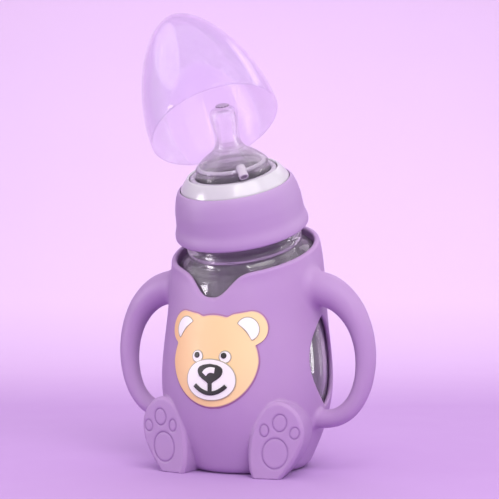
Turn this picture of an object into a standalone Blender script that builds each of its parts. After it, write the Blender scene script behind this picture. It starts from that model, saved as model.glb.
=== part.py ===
"""Bear baby bottle: a glass bottle in a soft sleeve, with an angled screw top, a teat and a lifted cap.

Metres, +Z up, origin on the floor under the middle of the base. The bear looks towards -Y and the
handles are at +X and -X. The neck, with everything screwed to it, leans from the upright towards -Y.
"""

import math

import bmesh
import bpy
from mathutils import Matrix, Vector

MM = 0.001
GAP = 0.3 * MM
SEGMENTS = 40

# The neck axis: it leaves the upright axis at the pivot. Neck heights are measured along it from there.
NECK_LEAN = math.radians(22.3)
NECK_PIVOT = Vector((0.0, 0.0, 97.0 * MM))
NECK_AXIS = Vector((0.0, -math.sin(NECK_LEAN), math.cos(NECK_LEAN)))

# The sleeve's outer wall as rings: lean in degrees, height, radius, and forward shift, all in mm.
# Above the body the rings lean a little more each, up to the neck's own lean at the rim.
BODY_RINGS = (
    (0.0, 0.0, 25.0, 0.0),
    (0.0, 0.5, 27.2, 0.0),
    (0.0, 2.2, 29.2, 0.0),
    (0.0, 5.5, 31.1, 0.0),
    (0.0, 12.0, 34.0, 0.0),
    (0.0, 20.0, 37.0, 0.0),
    (0.0, 29.0, 39.3, 0.0),
    (0.0, 38.0, 40.4, 0.0),
    (0.0, 47.0, 40.3, 0.0),
    (0.0, 56.0, 39.5, 0.0),
    (0.0, 65.0, 38.4, 0.0),
    (4.0, 74.0, 37.5, 0.0),
    (10.0, 84.0, 36.9, 0.2),
    (17.0, 93.5, 36.4, 0.8),
    (22.3, 100.4, 35.5, 1.5),
)
SLEEVE_WALL = 2.6 * MM
SLEEVE_FLOOR = 2.5 * MM
# The rim's rounded lip: (neck height, radius) from the outer wall over the top to the inner wall.
LIP = ((5.2, 35.0), (6.1, 34.5), (6.4, 33.8), (6.1, 33.1), (5.2, 32.7))

# Notch in the front of the rim, and a leaf-shaped window in each side.
NOTCH_MIDDLE = -2.0 * MM
NOTCH_HALF_WIDTH = 15.2 * MM
NOTCH_DEPTH = 9.8 * MM
WINDOW_BOTTOM = 30.0 * MM
WINDOW_TOP = 71.5 * MM
WINDOW_HALF_WIDTH = 13.5 * MM

GLASS_WALL = 2.0 * MM
GLASS_FLOOR = 5.0 * MM
# Shoulder, bead and threaded neck of the bottle: (neck height, radius).
GLASS_NECK = (
    (3.0, 30.4), (5.6, 28.2), (7.6, 26.8), (8.9, 26.9), (9.9, 27.3), (11.0, 26.9), (12.0, 25.4),
    (20.0, 25.3), (20.9, 26.2), (21.8, 25.3), (25.4, 25.3), (26.3, 26.2), (27.2, 25.3),
    (34.2, 25.3), (34.8, 24.9),
)
NECK_BORE = 22.6

# Screw top: closed profiles as (radius, neck height).
COLLAR_SHELL = (
    (28.6, 16.2), (29.0, 15.7), (30.8, 15.7), (31.4, 16.4), (31.4, 21.7), (31.1, 22.0), (30.0, 22.0),
    (29.9, 25.0), (29.5, 29.0), (28.9, 32.5), (28.3, 35.0), (27.4, 37.3), (26.4, 38.6), (25.75, 38.9),
    (25.75, 37.8), (26.8, 36.0), (27.6, 32.7), (28.6, 27.6),
)
COLLAR_CORE = (
    (27.0, 16.4), (28.3, 16.4), (28.3, 27.5), (27.3, 32.5), (26.5, 35.8), (25.4, 37.6), (25.4, 38.9),
    (23.4, 41.8), (21.3, 44.2), (20.7, 44.0), (20.6, 43.0), (24.1, 37.1), (26.0, 37.1), (26.0, 30.4),
    (27.0, 29.4),
)
TEAT = (
    (0.5, 74.3), (0.5, 76.0), (3.4, 76.0), (4.9, 75.2), (5.9, 73.2), (6.1, 70.4), (5.7, 66.0),
    (5.3, 62.0), (5.5, 59.0), (6.5, 56.4), (8.6, 54.2), (11.6, 52.2), (15.6, 49.3), (18.2, 46.8),
    (19.6, 44.6), (19.9, 43.0), (20.8, 41.5), (22.3, 39.0), (23.4, 36.8), (25.2, 36.8), (25.2, 35.2),
    (21.6, 35.2), (20.6, 38.6), (19.0, 41.2), (18.0, 43.6), (16.6, 45.9), (14.4, 47.9), (10.7, 50.6),
    (7.4, 52.9), (5.2, 55.3), (4.0, 58.6), (3.8, 62.0), (4.2, 66.0), (4.5, 70.4), (4.2, 72.6), (3.0, 74.3),
)
VENT_AZIMUTH = math.radians(38.0)
VENT_START = (16.4, 50.6)
VENT_END = (20.1, 45.8)
VENT_RADIUS = 2.2 * MM
VENT_BORE = 1.4 * MM
VENT_BORE_DEPTH = 4.0 * MM

# Dome cap, seated on the collar's ledge when closed, and swung off it at rest about a distant line.
CAP_SEAT = 22.3 * MM
CAP_RADIUS = 31.4 * MM
CAP_WALL = 1.1 * MM
CAP_HEIGHT = 67.0 * MM
CAP_STRAIGHT = 4.0 * MM
CAP_ROUNDNESS = 1.68
CAP_STEPS = 9
CAP_HINGE_REACH = 55.0 * MM
CAP_HINGE_AZIMUTH = math.radians(130.0)
CAP_HINGE_RISE = -2.0 * MM
CAP_OPENING = math.radians(47.3)

# Handles: centre line as (distance from the upright axis, height), and the thickness of the bar.
HANDLE_PLANE_Y = -5.3 * MM
HANDLE_PATH = (
    (30.0, 84.6), (36.5, 84.2), (43.0, 82.5), (48.6, 79.2), (53.6, 74.0), (57.3, 67.5), (59.5, 60.5),
    (60.4, 53.5), (60.1, 46.5), (58.6, 39.5), (55.8, 33.3), (51.8, 28.6), (46.8, 25.6), (41.5, 24.5),
    (34.0, 24.3),
)
HANDLE_RADII = (8.0, 7.9, 7.6, 6.9, 6.2, 5.5, 5.05, 4.75, 4.45, 4.25, 4.1, 4.1, 4.1, 4.2, 4.4)
HANDLE_SIDES = 16

# Feet: a thick pad on each side of the front, soles turned slightly outwards. The sole's outline is
# (outwards, height): upright on its inner side, drawn in towards the floor on its outer side.
FOOT_X = 28.0 * MM
FOOT_SOLE_Y = -32.5 * MM
FOOT_TURN = math.radians(10.0)
FOOT_OUTLINE = (
    (-11.2, 0.0), (-12.4, 4.0), (-12.8, 9.0), (-12.6, 14.0), (-11.7, 19.5), (-9.9, 25.0), (-7.0, 30.0),
    (-3.4, 33.2), (0.8, 34.3), (5.0, 33.2), (8.8, 30.2), (11.4, 26.0), (12.4, 21.2), (11.7, 16.0),
    (9.6, 11.0), (7.0, 6.6), (4.2, 2.8), (1.8, 0.0),
)
FOOT_MIDDLE = (-0.5, 16.5)
# Paw pads: name, outward offset, height, width, height of the oval, and its outward lean in degrees.
PADS = (
    ("heel", -0.6, 11.4, 11.4, 13.5, 8.0),
    ("toe_middle", 1.6, 24.9, 6.2, 7.6, 8.0),
    ("toe_inner", -5.4, 21.4, 3.9, 5.4, 0.0),
    ("toe_outer", 8.3, 20.6, 4.2, 5.2, 12.0),
)
PAD_THICKNESS = 0.5 * MM

# Bear face, drawn flat on the sleeve's front: (distance round the sleeve, height) in mm.
HEAD_CENTRE = (0.0, 51.8)
HEAD_HALF = (21.3, 20.4)
HEAD_CHIN_NARROWING = 0.0045
# Each ear is two discs run together.
EAR_DISCS = ((11.0, 65.5), (17.7, 66.6))
EAR_RADIUS = 7.4
# An ear's inset is a disc cut off along a circle about the head's centre.
INSET_CENTRE = (15.7, 66.2)
INSET_RADIUS = 5.5
INSET_INNER_EDGE = 20.8
MUZZLE_CENTRE = (0.0, 43.7)
MUZZLE_HALF = (11.7, 9.35)
EYE_CENTRE = (6.6, 54.6)
EYE_HALF = (2.9, 2.3)
PUPIL_SHIFT = -0.4
PUPIL_RADIUS = 1.25
# Half of the nose's outline, up one side, as (height, half width).
NOSE_CENTRE = (0.0, 47.2)
NOSE_PROFILE = (
    (42.2, 0.9), (43.0, 1.9), (43.8, 3.2), (44.6, 4.2), (45.3, 4.95), (46.3, 5.5), (47.4, 5.8),
    (48.5, 5.6), (49.5, 4.7), (50.3, 3.1), (50.8, 1.2),
)
SHINE_CENTRE = (0.1, 47.6)
SHINE_HALF = (2.6, 1.2)
SMILE_HALF_WIDTH = 7.2
SMILE_HEIGHT = 41.15
SMILE_DROP = 3.45
SMILE_THICKNESS = 1.8
FACE_LAYER = 0.8 * MM

MATERIALS = {
    "lilac_silicone": ((0.52, 0.33, 0.70), 0.55, 1.0),
    "lilac_plastic": ((0.52, 0.33, 0.70), 0.4, 1.0),
    "white_plastic": ((0.9, 0.9, 0.9), 0.35, 1.0),
    "glass": ((0.85, 0.88, 0.9), 0.05, 0.35),
    "clear_silicone": ((0.85, 0.85, 0.88), 0.15, 0.4),
    "cap_plastic": ((0.62, 0.45, 0.85), 0.15, 0.4),
    "peach_silicone": ((0.98, 0.68, 0.40), 0.5, 1.0),
    "white_silicone": ((0.9, 0.89, 0.87), 0.5, 1.0),
    "black_silicone": ((0.02, 0.02, 0.02), 0.45, 1.0),
}


def clear_scene():
    for obj in list(bpy.data.objects):
        bpy.data.objects.remove(obj)


def make_material(name):
    colour, roughness, alpha = MATERIALS[name]
    material = bpy.data.materials.get(name) or bpy.data.materials.new(name)
    material.use_nodes = True
    shader = material.node_tree.nodes["Principled BSDF"]
    shader.inputs["Base Color"].default_value = (*colour, 1.0)
    shader.inputs["Roughness"].default_value = roughness
    shader.inputs["Metallic"].default_value = 0.0
    shader.inputs["Alpha"].default_value = alpha
    return material


def add_object(name, mesh, material, smooth=True, origin=None):
    """Adds the mesh, built in world coordinates, as an object whose origin is the given matrix."""
    obj = bpy.data.objects.new(name, mesh)
    bpy.context.scene.collection.objects.link(obj)
    if material:
        mesh.materials.append(make_material(material))
    for face in mesh.polygons:
        face.use_smooth = smooth
    if origin is not None:
        mesh.transform(origin.inverted())
        obj.matrix_world = origin
    return obj


def mesh_from_rows(name, rows, closed_ring=False):
    """A closed body from rows of points, each row a loop. A one-point row is a pole."""
    mesh = bpy.data.meshes.new(name)
    bm = bmesh.new()
    made = [[bm.verts.new(point) for point in row] for row in rows]
    pairs = list(zip(made, made[1:]))
    if closed_ring:
        pairs.append((made[-1], made[0]))
    for low, high in pairs:
        join_rows(bm, low, high)
    if not closed_ring:
        for row in (made[0], made[-1]):
            if len(row) > 2:
                bm.faces.new(row)
    bmesh.ops.recalc_face_normals(bm, faces=bm.faces)
    bm.to_mesh(mesh)
    bm.free()
    return mesh


def join_rows(bm, low, high):
    count = max(len(low), len(high))
    for i in range(count):
        j = (i + 1) % count
        if len(low) == 1:
            bm.faces.new((low[0], high[i], high[j]))
        elif len(high) == 1:
            bm.faces.new((low[i], low[j], high[0]))
        else:
            bm.faces.new((low[i], low[j], high[j], high[i]))


def ring(centre, lean, radius, count=SEGMENTS):
    """A circle of points round a line that leans by this angle towards -Y."""
    side = Vector((1.0, 0.0, 0.0))
    back = Vector((0.0, math.cos(lean), math.sin(lean)))
    return [
        centre + radius * (math.cos(angle) * side + math.sin(angle) * back)
        for angle in (2 * math.pi * i / count for i in range(count))
    ]


def neck_ring(radius, height, count=SEGMENTS):
    """A circle round the neck axis, both sizes in mm."""
    return ring(NECK_PIVOT + NECK_AXIS * height * MM, NECK_LEAN, radius * MM, count)


def neck_matrix(height=0.0):
    """A frame on the neck axis: its Z runs along the neck and its X stays level."""
    turn = Matrix.Rotation(NECK_LEAN, 4, "X")
    return Matrix.Translation(NECK_PIVOT + NECK_AXIS * height) @ turn


def body_ring(station, inset=0.0, raise_by=0.0):
    lean, height, radius, shift = station
    centre = Vector((0.0, -shift * MM, height * MM + raise_by))
    return ring(centre, math.radians(lean), radius * MM - inset)


def lathe_on_neck(name, profile, material, count=SEGMENTS):
    """Turns a closed (radius, height) profile about the neck axis."""
    rows = [neck_ring(radius, height, count) for radius, height in profile]
    return add_object(name, mesh_from_rows(name, rows, closed_ring=True), material, origin=neck_matrix())


def subtract(obj, cutter):
    modifier = obj.modifiers.new("cut_" + cutter.name, "BOOLEAN")
    modifier.operation = "DIFFERENCE"
    modifier.solver = "EXACT"
    modifier.object = cutter
    cutter.hide_render = True
    cutter.display_type = "WIRE"


def sleeve_radius(height):
    """Outer radius of the upright part of the sleeve at this height, in metres."""
    for (_, low, near, _), (_, high, far, _) in zip(BODY_RINGS, BODY_RINGS[1:]):
        if height <= high * MM:
            share = (height / MM - low) / (high - low)
            return (near + (far - near) * share) * MM
    return BODY_RINGS[-1][2] * MM


def sleeve_outline(grow=0.0):
    """Rows of the sleeve's outer surface from the middle of the base to the rim."""
    rows = [[Vector((0.0, 0.0, -grow))]]
    rows += [body_ring(station, -grow) for station in BODY_RINGS]
    if grow:
        rows[1] = ring(Vector((0.0, 0.0, -grow)), 0.0, BODY_RINGS[0][2] * MM + grow)
    return rows


def window_points():
    """The window's leaf outline as (across, height), from its lower tip round to it again."""
    middle = (WINDOW_TOP + WINDOW_BOTTOM) / 2
    half = (WINDOW_TOP - WINDOW_BOTTOM) / 2
    points = []
    for i in range(20):
        angle = math.pi * i / 20
        points.append((WINDOW_HALF_WIDTH * math.sin(angle) ** 1.8, middle - half * math.cos(angle)))
    return points + [(-across, 2 * middle - height) for across, height in points]


def notch_points():
    """The notch's outline as (across, height), open above the rim."""
    top = 20.0 * MM
    points = [(NOTCH_MIDDLE - 1.4 * NOTCH_HALF_WIDTH, top)]
    for i in range(19):
        across = -1.0 + i / 9
        depth = max(0.5 + 0.5 * math.cos(math.pi * across), 0.0)
        points.append((NOTCH_MIDDLE + across * NOTCH_HALF_WIDTH, -NOTCH_DEPTH * depth ** 0.55))
    points.append((NOTCH_MIDDLE + 1.4 * NOTCH_HALF_WIDTH, top))
    return points


def prism(name, near_loop, far_loop):
    return add_object(name, mesh_from_rows(name, [near_loop, far_loop]), None, smooth=False)


def make_sleeve():
    rows = sleeve_outline()[1:]
    rows += [neck_ring(radius, height) for height, radius in LIP]
    inner = [station for station in BODY_RINGS[1:] if station[1] * MM > SLEEVE_FLOOR]
    rows += [body_ring(station, SLEEVE_WALL) for station in reversed(inner)]
    rows.append(ring(Vector((0.0, 0.0, SLEEVE_FLOOR)), 0.0, BODY_RINGS[1][2] * MM - SLEEVE_WALL))
    sleeve = add_object("sleeve_body", mesh_from_rows("sleeve_body", rows), "lilac_silicone")
    for side, sign in (("left", -1), ("right", 1)):
        points = window_points()
        near = [Vector((sign * 25.0 * MM, across, height)) for across, height in points]
        far = [Vector((sign * 50.0 * MM, across, height)) for across, height in points]
        subtract(sleeve, prism("window_cutter_" + side, near, far))
    rim = neck_matrix(6.4 * MM)
    near = [rim @ Vector((across, -20.0 * MM, height)) for across, height in notch_points()]
    far = [rim @ Vector((across, -50.0 * MM, height)) for across, height in notch_points()]
    subtract(sleeve, prism("notch_cutter", near, far))
    return sleeve


def make_glass():
    inset = SLEEVE_WALL + GAP
    floor = SLEEVE_FLOOR + GAP
    stations = [station for station in BODY_RINGS[2:-1] if station[1] * MM > floor]
    rows = [ring(Vector((0.0, 0.0, floor)), 0.0, 24.2 * MM)]
    rows += [body_ring(station, inset) for station in stations]
    rows += [neck_ring(radius, height) for height, radius in GLASS_NECK]
    rows.append(neck_ring(NECK_BORE + 0.5, 34.8))
    rows += [neck_ring(NECK_BORE, height) for height in (34.2, 12.0)]
    rows += [neck_ring(radius - GLASS_WALL / MM, height) for height, radius in ((7.0, 26.6), (3.0, 29.6))]
    inside = [station for station in stations if station[1] * MM > floor + GLASS_FLOOR]
    rows += [body_ring(station, inset + GLASS_WALL) for station in reversed(inside)]
    rows.append(ring(Vector((0.0, 0.0, floor + GLASS_FLOOR)), 0.0, 26.0 * MM))
    add_object("glass_bottle", mesh_from_rows("glass_bottle", rows), "glass")


def vent_line():
    """The vent tube's two ends on the neck's frame: it lies on the teat's front and leans out and down."""
    outward = Vector((math.sin(VENT_AZIMUTH), -math.cos(VENT_AZIMUTH), 0.0))
    ends = []
    for radius, height in (VENT_START, VENT_END):
        ends.append(outward * radius * MM + Vector((0.0, 0.0, height * MM)))
    return ends


def vent_ring(centre, radius):
    """A circle of points square across the vent tube."""
    start, end = vent_line()
    along = (end - start).normalized()
    side = along.cross(Vector((0.0, 0.0, 1.0))).normalized()
    other = along.cross(side)
    loop = []
    for i in range(16):
        angle = 2 * math.pi * i / 16
        loop.append(neck_matrix() @ (centre + radius * (math.cos(angle) * side + math.sin(angle) * other)))
    return loop


def make_vent():
    """A short blind tube."""
    start, end = vent_line()
    bore_end = end + (start - end).normalized() * VENT_BORE_DEPTH
    sizes = ((start, VENT_RADIUS), (end, VENT_RADIUS), (end, VENT_BORE), (bore_end, VENT_BORE))
    rows = [vent_ring(centre, radius) for centre, radius in sizes]
    add_object("vent_valve", mesh_from_rows("vent_valve", rows), "clear_silicone", origin=neck_matrix())


def vent_clearance():
    """A slightly larger plug round the vent tube, for its seat in the teat."""
    start, end = vent_line()
    along = (end - start).normalized()
    near = vent_ring(start - along * GAP, VENT_RADIUS + GAP)
    far = vent_ring(end + along * 6.0 * MM, VENT_RADIUS + GAP)
    return prism("vent_clearance", near, far)


def dome_rows(radius, height, straight):
    """(radius, height) pairs of a rounded dome, from its rim to its top."""
    pairs = [(radius, 0.0)]
    for i in range(CAP_STEPS):
        angle = math.pi / 2 * i / CAP_STEPS
        power = 2 / CAP_ROUNDNESS
        rise = (height - straight) * math.sin(angle) ** power
        pairs.append((radius * math.cos(angle) ** power, straight + rise))
    return pairs


def cap_rest_matrix():
    """The cap's frame when it is off the bottle: the seated frame swung about the distant hinge line."""
    seated = neck_matrix(CAP_SEAT)
    turn = Matrix.Rotation(-CAP_OPENING, 4, cap_hinge_direction())
    point = cap_hinge_point()
    return Matrix.Translation(point) @ turn @ Matrix.Translation(-point) @ seated


def cap_hinge_point():
    reach = Vector((math.cos(CAP_HINGE_AZIMUTH), math.sin(CAP_HINGE_AZIMUTH), 0.0)) * CAP_HINGE_REACH
    return neck_matrix(CAP_SEAT) @ (reach + Vector((0.0, 0.0, CAP_HINGE_RISE)))


def cap_hinge_direction():
    level = Vector((math.sin(CAP_HINGE_AZIMUTH), -math.cos(CAP_HINGE_AZIMUTH), 0.0))
    return neck_matrix().to_3x3() @ level


def make_cap():
    placed = cap_rest_matrix()
    outside = dome_rows(CAP_RADIUS, CAP_HEIGHT, CAP_STRAIGHT)
    inside = dome_rows(CAP_RADIUS - CAP_WALL, CAP_HEIGHT - CAP_WALL, CAP_STRAIGHT)
    rows = [[Vector((0.0, 0.0, CAP_HEIGHT))]]
    rows += [ring(Vector((0.0, 0.0, height)), 0.0, radius) for radius, height in reversed(outside)]
    rows += [ring(Vector((0.0, 0.0, height)), 0.0, radius) for radius, height in inside]
    rows.append([Vector((0.0, 0.0, CAP_HEIGHT - CAP_WALL))])
    rows = [[placed @ point for point in row] for row in rows]
    hinge = Matrix.Translation(cap_hinge_point())
    add_object("dome_cap", mesh_from_rows("dome_cap", rows), "cap_plastic", origin=hinge)


def tube_rows(path, radii, sides):
    """Rows round a path that lies in an X-Z plane."""
    rows = []
    for i, (point, radius) in enumerate(zip(path, radii)):
        before = path[max(i - 1, 0)]
        after = path[min(i + 1, len(path) - 1)]
        along = (after - before).normalized()
        out = Vector((along.z, 0.0, -along.x))
        across = Vector((0.0, 1.0, 0.0))
        rows.append([
            point + radius * (math.cos(angle) * out + math.sin(angle) * across)
            for angle in (2 * math.pi * k / sides for k in range(sides))
        ])
    return rows


def make_handle(side, sign, clearance):
    path = [Vector((sign * out * MM, HANDLE_PLANE_Y, height * MM)) for out, height in HANDLE_PATH]
    rows = tube_rows(path, [radius * MM for radius in HANDLE_RADII], HANDLE_SIDES)
    name = "handle_" + side
    handle = add_object(name, mesh_from_rows(name, rows), "lilac_silicone")
    subtract(handle, clearance)


def foot_matrix(sign):
    """The sole's frame: X outwards across the sole, -Y out of the sole, Z up."""
    turn = Matrix.Rotation(sign * FOOT_TURN, 4, "Z")
    return Matrix.Translation(Vector((sign * FOOT_X, FOOT_SOLE_Y, 0.0))) @ turn


def foot_outline(sign, scale):
    """The sole's outline, drawn in about its middle but never lifted off the floor."""
    points = []
    for outward, height in FOOT_OUTLINE:
        across = FOOT_MIDDLE[0] + (outward - FOOT_MIDDLE[0]) * scale
        rise = FOOT_MIDDLE[1] + (height - FOOT_MIDDLE[1]) * scale if height > 0.0 else 0.0
        points.append((sign * across, max(rise, 0.0)))
    return points


def make_foot(side, sign, clearance):
    placed = foot_matrix(sign)
    rows = []
    for share, depth in ((0.80, 0.0), (0.93, 0.7), (0.985, 1.8), (1.0, 3.2), (1.0, 9.0), (0.96, 20.0)):
        outline = foot_outline(sign, share)
        rows.append([placed @ Vector((across * MM, depth * MM, height * MM)) for across, height in outline])
    name = "foot_" + side
    foot = add_object(name, mesh_from_rows(name, rows), "lilac_silicone")
    subtract(foot, clearance)


def make_pads(side, sign):
    placed = foot_matrix(sign)
    for pad, outward, height, width, tall, lean in PADS:
        turn = Matrix.Rotation(sign * math.radians(lean), 4, "Y")
        centre = Matrix.Translation(Vector((sign * outward * MM, 0.0, height * MM)))
        rows = []
        for depth, scale in ((-GAP, 1.0), (-GAP - 0.6 * PAD_THICKNESS, 1.0), (-GAP - PAD_THICKNESS, 0.9)):
            row = []
            for i in range(18):
                angle = 2 * math.pi * i / 18
                across = scale * width / 2 * MM * math.cos(angle)
                rise = scale * tall / 2 * MM * math.sin(angle)
                row.append(placed @ centre @ turn @ Vector((across, depth, rise)))
            rows.append(row)
        name = f"pad_{side}_{pad}"
        add_object(name, mesh_from_rows(name, rows), "lilac_silicone")


def on_sleeve(across, height, lift):
    """A point this far round the sleeve's front and this high, lifted off its wall."""
    angle = across * MM / (39.5 * MM)
    radius = sleeve_radius(height * MM) + lift
    return Vector((radius * math.sin(angle), -radius * math.cos(angle), height * MM))


def inlay(name, outline, centre, level, material, steps=4):
    """A thin layer that follows the sleeve. Its outline is seen whole from its centre point."""
    low = GAP + level * (FACE_LAYER + GAP)
    high = low + FACE_LAYER
    rows = []
    shares = [k / steps for k in range(steps + 1)]
    for lift, order in ((low, shares), (high, shares[::-1])):
        for share in order:
            if share == 0:
                rows.append([on_sleeve(centre[0], centre[1], lift)])
                continue
            rows.append([
                on_sleeve(centre[0] + (x - centre[0]) * share, centre[1] + (z - centre[1]) * share, lift)
                for x, z in outline
            ])
    add_object(name, mesh_from_rows(name, rows), material)


def oval(centre, half, count=28):
    points = []
    for i in range(count):
        angle = 2 * math.pi * i / count
        points.append((centre[0] + half[0] * math.cos(angle), centre[1] + half[1] * math.sin(angle)))
    return points


def head_reach(direction):
    """How far the head's own oval reaches from its centre; it narrows a little towards the chin."""
    reach = 1.0 / math.hypot(direction[0] / HEAD_HALF[0], direction[1] / HEAD_HALF[1])
    below = max(0.0, -direction[1] * reach)
    return reach / math.hypot(direction[0] / (1.0 - HEAD_CHIN_NARROWING * below), direction[1])


def head_outline(count=64):
    """The head with its two round ears, as the farthest edge seen from the head's centre."""
    points = []
    for i in range(count):
        angle = 2 * math.pi * i / count
        direction = (math.cos(angle), math.sin(angle))
        reach = head_reach(direction)
        for disc in EAR_DISCS:
            for sign in (-1, 1):
                ear = (sign * disc[0] - HEAD_CENTRE[0], disc[1] - HEAD_CENTRE[1])
                along = ear[0] * direction[0] + ear[1] * direction[1]
                aside = abs(ear[0] * direction[1] - ear[1] * direction[0])
                if along > 0 and aside < EAR_RADIUS:
                    reach = max(reach, along + math.sqrt(EAR_RADIUS ** 2 - aside ** 2))
        points.append((HEAD_CENTRE[0] + reach * direction[0], HEAD_CENTRE[1] + reach * direction[1]))
    return points


def ear_inset(sign):
    """A half-moon in the ear, cut off along a circle about the head's centre."""
    far = math.hypot(INSET_CENTRE[0] - HEAD_CENTRE[0], INSET_CENTRE[1] - HEAD_CENTRE[1])
    outward = math.atan2(INSET_CENTRE[1] - HEAD_CENTRE[1], INSET_CENTRE[0] - HEAD_CENTRE[0])
    along = (far ** 2 + INSET_INNER_EDGE ** 2 - INSET_RADIUS ** 2) / (2 * far)
    tip = math.acos(along / INSET_INNER_EDGE)
    open_angle = math.atan2(INSET_INNER_EDGE * math.sin(tip), along - far)
    points = []
    for i in range(15):
        angle = outward - open_angle + 2 * open_angle * i / 14
        points.append((
            INSET_CENTRE[0] + INSET_RADIUS * math.cos(angle),
            INSET_CENTRE[1] + INSET_RADIUS * math.sin(angle),
        ))
    for i in range(1, 6):
        angle = outward + tip - 2 * tip * i / 6
        points.append((
            HEAD_CENTRE[0] + INSET_INNER_EDGE * math.cos(angle),
            HEAD_CENTRE[1] + INSET_INNER_EDGE * math.sin(angle),
        ))
    return [(sign * x, z) for x, z in points]


def nose_outline():
    """Wide and round at the top, drawn in to a narrow foot."""
    right = [(half, height) for height, half in NOSE_PROFILE]
    return right + [(-half, height) for half, height in reversed(right)]


def smile_edges():
    """The upper and the lower edge of the curved band of the smile."""
    half = SMILE_THICKNESS / 2
    upper = []
    lower = []
    for i in range(13):
        x = -SMILE_HALF_WIDTH + 2 * SMILE_HALF_WIDTH * i / 12
        z = SMILE_HEIGHT - SMILE_DROP * (1 - (x / SMILE_HALF_WIDTH) ** 2)
        slope = 2 * SMILE_DROP * x / SMILE_HALF_WIDTH ** 2
        length = math.hypot(1.0, slope)
        upper.append((x - half * slope / length, z + half / length))
        lower.append((x + half * slope / length, z - half / length))
    return upper, lower


def bar_section(left, right, low, high):
    """Four corners of a bar between two points drawn on the sleeve."""
    return [on_sleeve(*left, low), on_sleeve(*left, high), on_sleeve(*right, high), on_sleeve(*right, low)]


def make_mouth():
    low = GAP + 2 * (FACE_LAYER + GAP)
    high = low + FACE_LAYER
    rows = [bar_section(above, below, low, high) for above, below in zip(*smile_edges())]
    add_object("mouth_smile", mesh_from_rows("mouth_smile", rows), "black_silicone", smooth=False)
    half = SMILE_THICKNESS / 2
    top = NOSE_PROFILE[0][0] - 0.35
    bottom = SMILE_HEIGHT - SMILE_DROP + half + 0.35
    rows = [bar_section((-half, z), (half, z), low, high) for z in (bottom, (bottom + top) / 2, top)]
    add_object("mouth_stem", mesh_from_rows("mouth_stem", rows), "black_silicone", smooth=False)


def make_face():
    inlay("bear_head", head_outline(), HEAD_CENTRE, 0, "peach_silicone")
    inlay("bear_muzzle", oval(MUZZLE_CENTRE, MUZZLE_HALF), MUZZLE_CENTRE, 1, "white_silicone")
    inlay("bear_nose", nose_outline(), NOSE_CENTRE, 2, "black_silicone", steps=2)
    inlay("nose_shine", oval(SHINE_CENTRE, SHINE_HALF, 12), SHINE_CENTRE, 3, "white_silicone", steps=1)
    for side, sign in (("left", -1), ("right", 1)):
        ear = ear_inset(sign)
        middle = (sign * (INSET_CENTRE[0] + 0.9), INSET_CENTRE[1] + 0.8)
        inlay("ear_inset_" + side, ear, middle, 1, "white_silicone", steps=2)
        eye = (sign * EYE_CENTRE[0], EYE_CENTRE[1])
        inlay("eye_white_" + side, oval(eye, EYE_HALF, 20), eye, 1, "white_silicone", steps=1)
        pupil = (eye[0] + PUPIL_SHIFT, eye[1])
        round_pupil = oval(pupil, (PUPIL_RADIUS, PUPIL_RADIUS), 12)
        inlay("pupil_" + side, round_pupil, pupil, 2, "black_silicone", steps=1)
    make_mouth()


def main():
    clear_scene()
    make_sleeve()
    make_glass()
    lathe_on_neck("collar_shell", COLLAR_SHELL, "lilac_plastic")
    lathe_on_neck("collar_core", COLLAR_CORE, "white_plastic")
    teat = lathe_on_neck("teat", TEAT, "clear_silicone", 32)
    make_vent()
    make_cap()
    clearance = add_object("sleeve_clearance", mesh_from_rows("sleeve_clearance", sleeve_outline(GAP)), None)
    for side, sign in (("left", -1), ("right", 1)):
        make_handle(side, sign, clearance)
        make_foot(side, sign, clearance)
        make_pads(side, sign)
    make_face()
    subtract(teat, vent_clearance())


main()
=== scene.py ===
"""Looks of the bear baby bottle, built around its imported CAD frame.

Sizes in the tables are millimetres; everything that reaches Blender is in metres, in the frame of the part:
+Z up, origin on the floor under the bottle, the bear looks towards -Y, handles at +X and -X.
The soft sleeve with its handles and feet is one moulded piece here, meshed from a distance field, so that
its parts flow into each other. The bottle, the screw top, the teat and the cap are turned shapes.
"""

import math

import bmesh
import bpy
import numpy as np
from mathutils import Matrix, Vector


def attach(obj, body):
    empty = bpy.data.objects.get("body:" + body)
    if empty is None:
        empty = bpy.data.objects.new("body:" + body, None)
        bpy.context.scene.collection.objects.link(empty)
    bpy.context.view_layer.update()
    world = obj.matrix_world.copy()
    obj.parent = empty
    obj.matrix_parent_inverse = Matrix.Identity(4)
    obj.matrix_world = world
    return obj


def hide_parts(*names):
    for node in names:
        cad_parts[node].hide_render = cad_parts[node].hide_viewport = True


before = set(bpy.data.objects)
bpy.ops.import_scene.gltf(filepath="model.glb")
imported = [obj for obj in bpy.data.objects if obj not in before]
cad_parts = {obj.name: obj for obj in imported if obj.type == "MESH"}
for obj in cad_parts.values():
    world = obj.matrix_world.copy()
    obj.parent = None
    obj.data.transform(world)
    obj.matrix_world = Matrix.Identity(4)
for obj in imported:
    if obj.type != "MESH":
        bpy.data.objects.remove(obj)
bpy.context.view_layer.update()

MM = 0.001

# The neck axis leaves the upright axis at the pivot and leans towards -Y.
NECK_LEAN = math.radians(22.3)
NECK_PIVOT = np.array([0.0, 0.0, 97.0])
NECK_AXIS = np.array([0.0, -math.sin(NECK_LEAN), math.cos(NECK_LEAN)])
NECK_BACK = np.array([0.0, math.cos(NECK_LEAN), math.sin(NECK_LEAN)])
NECK_MATRIX = Matrix.Translation((0.0, 0.0, NECK_PIVOT[2] * MM)) @ Matrix.Rotation(NECK_LEAN, 4, "X")

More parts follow.
